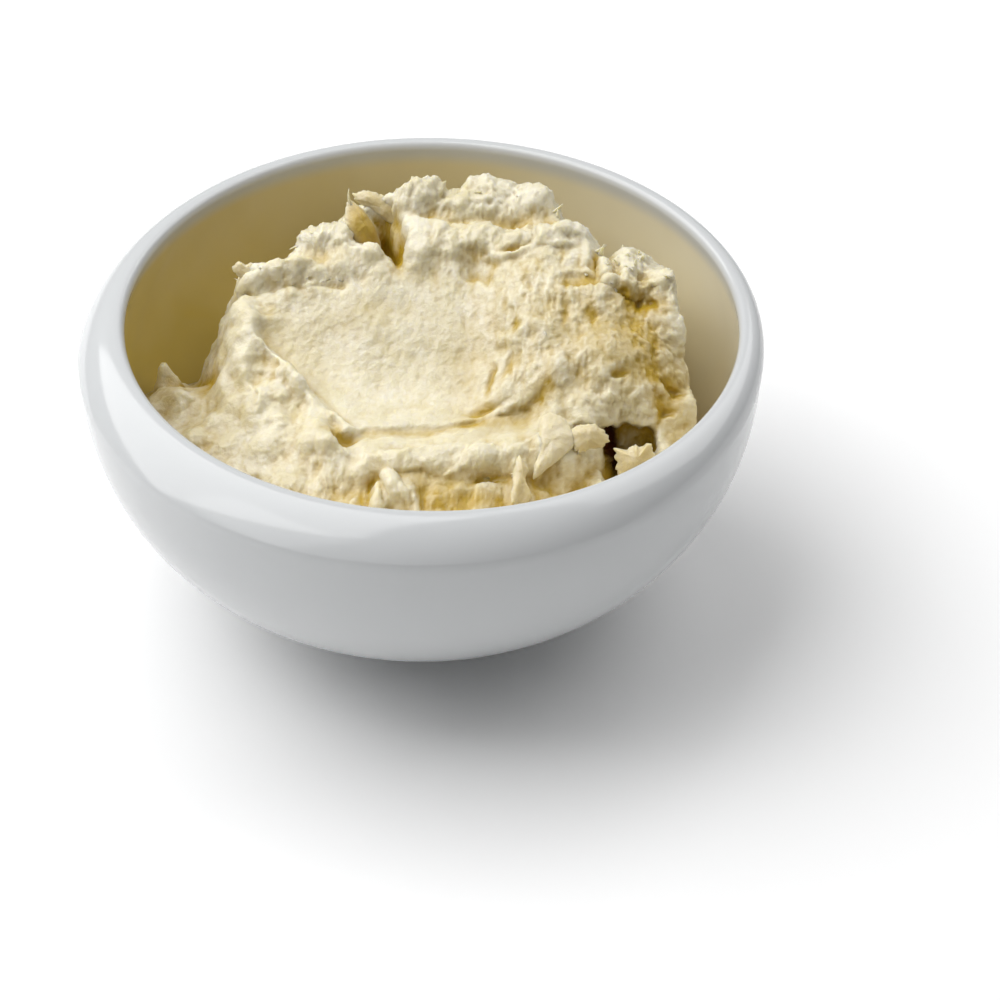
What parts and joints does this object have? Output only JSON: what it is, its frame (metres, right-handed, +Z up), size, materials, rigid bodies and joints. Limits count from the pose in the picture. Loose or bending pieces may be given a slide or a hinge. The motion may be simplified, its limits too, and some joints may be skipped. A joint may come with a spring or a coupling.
{
  "type": "bowl of tuna cream cheese spread",
  "caption": "White porcelain bowl with a thick, off-centre in-curved rim, filled with a torn heap of pale cream cheese spread that has one smeared face.",
  "frame": {"origin": "centre of the bowl's foot, on the surface that it stands on", "axes": "+Z up, +Y to the bowl's back where the rim is thin, +X to the right as seen from the front"},
  "size_m": [0.1204, 0.121, 0.0627],
  "materials": {
    "bowl": "white porcelain, clear glossy glaze",
    "spread": "moist soft cheese, satin"
  },
  "bodies": {
    "root": {"bowl": "bowl", "spread": "spread"}
  },
  "joints": []
}
